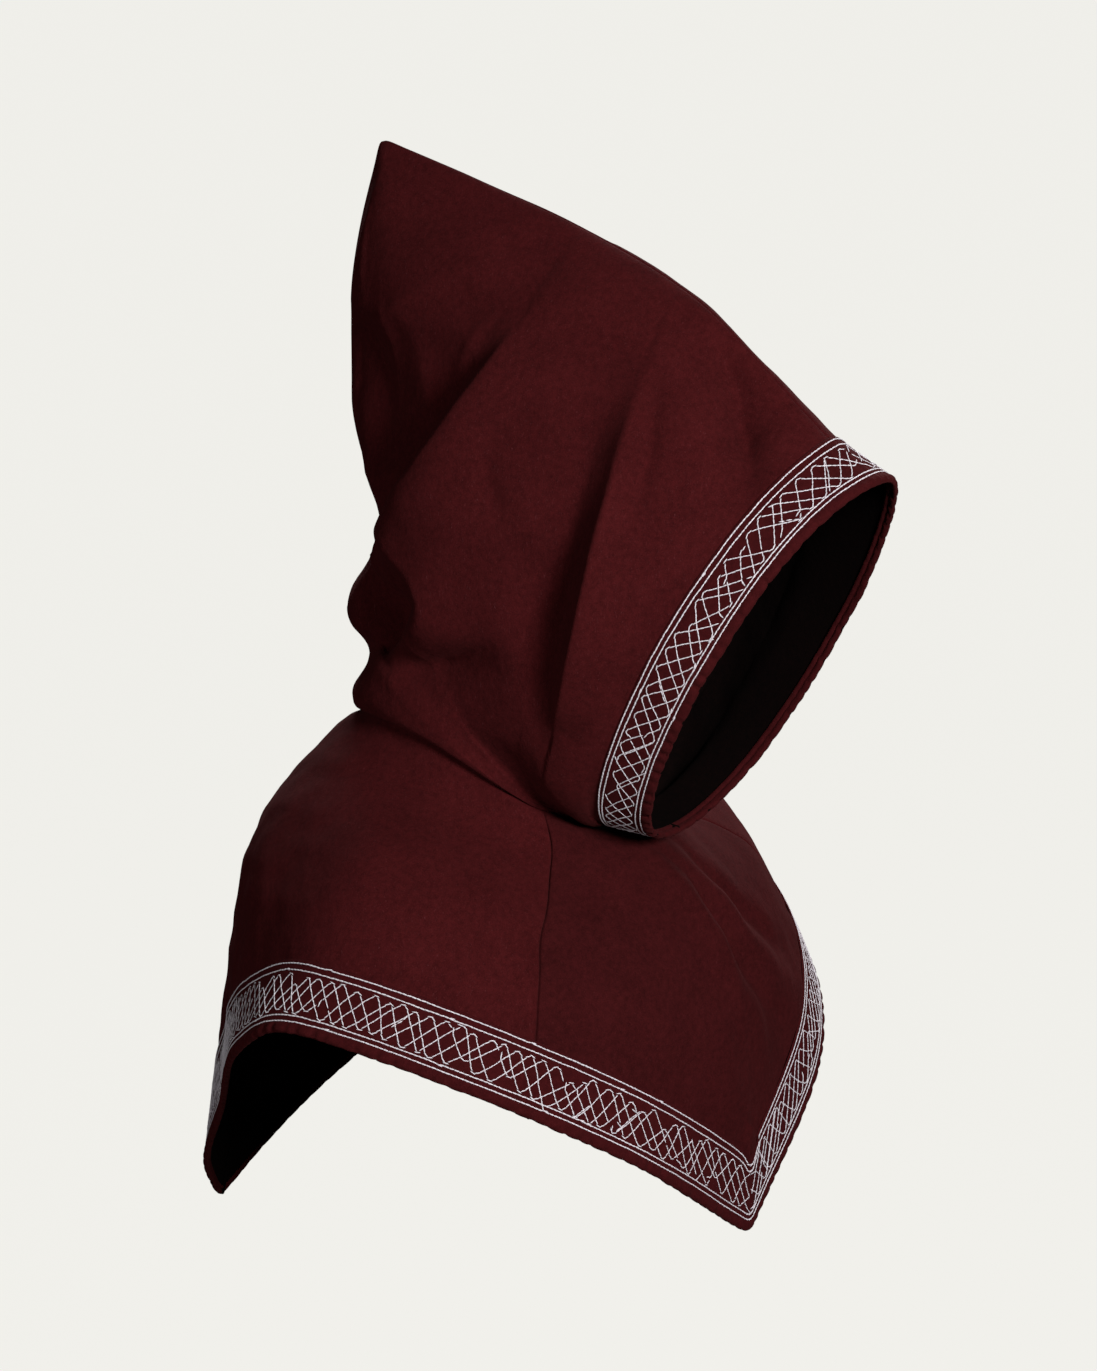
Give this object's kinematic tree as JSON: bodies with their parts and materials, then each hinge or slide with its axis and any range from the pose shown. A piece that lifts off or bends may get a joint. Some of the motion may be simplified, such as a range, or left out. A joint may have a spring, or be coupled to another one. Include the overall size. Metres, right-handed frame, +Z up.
{
  "type": "hood",
  "caption": "Pointed hood of thick wool cloth with a shoulder mantle cut to a point in front and behind, and stitched interlace bands round the face and along the hem.",
  "frame": {"origin": "the spot under the crown where the wearer's head bears, on the centre line", "axes": "+Z up, -Y the way the wearer faces, -X the wearer's right"},
  "size_m": [0.4582, 0.5343, 0.7805],
  "materials": {
    "cloth": "thick fulled wool, matt, with a short nap",
    "trim": "the same wool, darker, with raised silver-white stitching"
  },
  "bodies": {
    "root": {"hood_left": "cloth", "hood_right": "cloth", "face_trim_left": "trim", "face_trim_right": "trim", "mantle_front": "cloth", "mantle_left": "cloth", "mantle_right": "cloth", "hem_trim_left": "trim", "hem_trim_right": "trim"}
  },
  "joints": []
}
